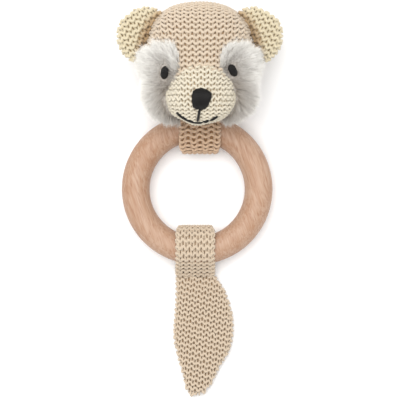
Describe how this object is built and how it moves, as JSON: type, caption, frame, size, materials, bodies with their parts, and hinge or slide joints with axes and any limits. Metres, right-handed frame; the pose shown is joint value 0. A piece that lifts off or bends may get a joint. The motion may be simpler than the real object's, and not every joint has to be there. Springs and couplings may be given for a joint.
{
  "type": "baby rattle",
  "caption": "Knitted, stuffed animal head and a flat knitted tail looped on a beech teething ring, with a rattle capsule sealed in the head.",
  "frame": {"origin": "middle of the underside of the whole toy as it lies on its back", "axes": "+Z out of the face, away from the surface it lies on; +Y from the tail to the crown; +X to the right of someone who faces the toy"},
  "size_m": [0.0776, 0.1838, 0.0573],
  "materials": {
    "beech": "sanded beech, waxed, satin",
    "knit_peach": "peach beige cotton knit, purl side out",
    "knit_cream": "cream cotton knit, purl side out",
    "knit_tan": "tan cotton knit band",
    "knit_beige": "beige cotton knit, purl side out",
    "fur_grey": "pale grey faux fur, short pile",
    "thread_black": "black embroidery thread, satin stitch",
    "thread_beige": "beige sewing thread",
    "polyester_fill": "white polyester fibre filling",
    "capsule_plastic": "moulded white plastic",
    "pellet_steel": "steel balls"
  },
  "bodies": {
    "neck": {"neck_loop": "knit_tan", "neck_seam_thread": "thread_beige"},
    "ring": {"beech_ring": "beech"},
    "head": {"head_front_panel": "knit_peach", "head_back_panel": "knit_peach", "head_stuffing": "polyester_fill", "muzzle_cover": "knit_cream", "muzzle_stuffing": "polyester_fill", "left_ear_front_panel": "knit_cream", "left_ear_back_panel": "knit_cream", "right_ear_front_panel": "knit_cream", "right_ear_back_panel": "knit_cream", "left_fur_patch": "fur_grey", "right_fur_patch": "fur_grey", "left_eye": "thread_black", "right_eye": "thread_black", "nose": "thread_black", "mouth_stitches": "thread_black", "capsule_front_shell": "capsule_plastic", "capsule_back_shell": "capsule_plastic"},
    "pellets": {"rattle_pellets": "pellet_steel"},
    "tail_band": {"tail_loop": "knit_beige", "tail_seam_thread": "thread_beige"},
    "tail": {"tail_front_panel": "knit_beige", "tail_back_panel": "knit_beige", "tail_wadding": "polyester_fill"}
  },
  "joints": [
    {"name": "ring_turn", "type": "hinge", "parent": "neck", "child": "ring", "pos_m": [-0.0012, 0.0049, 0.0092], "axis": [0, 0, 1], "continuous": true},
    {"name": "head_nod", "type": "hinge", "parent": "neck", "child": "head", "pos_m": [0, 0.04201, 0.01366], "axis": [1, 0, 0], "range_deg": [-25, 25]},
    {"name": "pellet_rattle", "type": "slide", "parent": "head", "child": "pellets", "axis": [0, 0, 1], "range_m": [0, 0.0138]},
    {"name": "tail_swing", "type": "hinge", "parent": "neck", "child": "tail_band", "pos_m": [-0.0012, 0.0049, 0.0092], "axis": [0, 0, 1], "range_deg": [-120, 120]},
    {"name": "tail_flap", "type": "hinge", "parent": "tail_band", "child": "tail", "pos_m": [-0.0021, -0.0346, 0.0032], "axis": [1, 0, 0], "range_deg": [-70, 50]}
  ]
}
